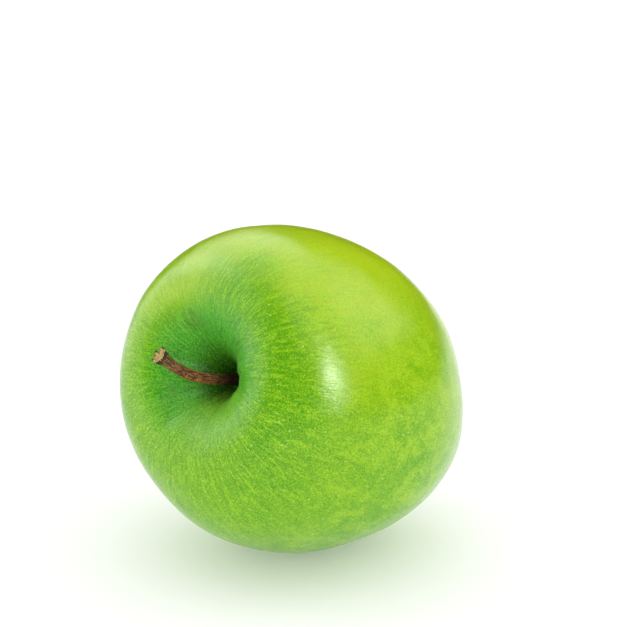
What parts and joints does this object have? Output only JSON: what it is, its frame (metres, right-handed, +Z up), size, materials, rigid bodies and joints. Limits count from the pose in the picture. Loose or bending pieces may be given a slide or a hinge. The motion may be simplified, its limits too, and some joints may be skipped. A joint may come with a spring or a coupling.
{
  "type": "apple",
  "caption": "Whole green apple lying on its side, with a woody stem in its cavity and dried blossom remains in the basin at the other end.",
  "frame": {"origin": "middle of the small flat spot that the apple rests on, at z = 0", "axes": "+Z up. The core's stem end points to -Y and rises about 18 degrees above the horizontal. +X is to the right of someone who looks along +Y at the stem end."},
  "size_m": [0.0804, 0.0868, 0.0805],
  "materials": {
    "skin": "satin",
    "stem_bark": "matte",
    "dried_sepal": "matte",
    "dried_stamen": "matte",
    "dried_style": "matte"
  },
  "bodies": {
    "root": {"fruit": "skin", "stem": "stem_bark", "sepal_1": "dried_sepal", "sepal_2": "dried_sepal", "sepal_3": "dried_sepal", "sepal_4": "dried_sepal", "sepal_5": "dried_sepal", "stamen_01": "dried_stamen", "stamen_02": "dried_stamen", "stamen_03": "dried_stamen", "stamen_04": "dried_stamen", "stamen_05": "dried_stamen", "stamen_06": "dried_stamen", "stamen_07": "dried_stamen", "stamen_08": "dried_stamen", "stamen_09": "dried_stamen", "stamen_10": "dried_stamen", "style_remains": "dried_style"}
  },
  "joints": []
}
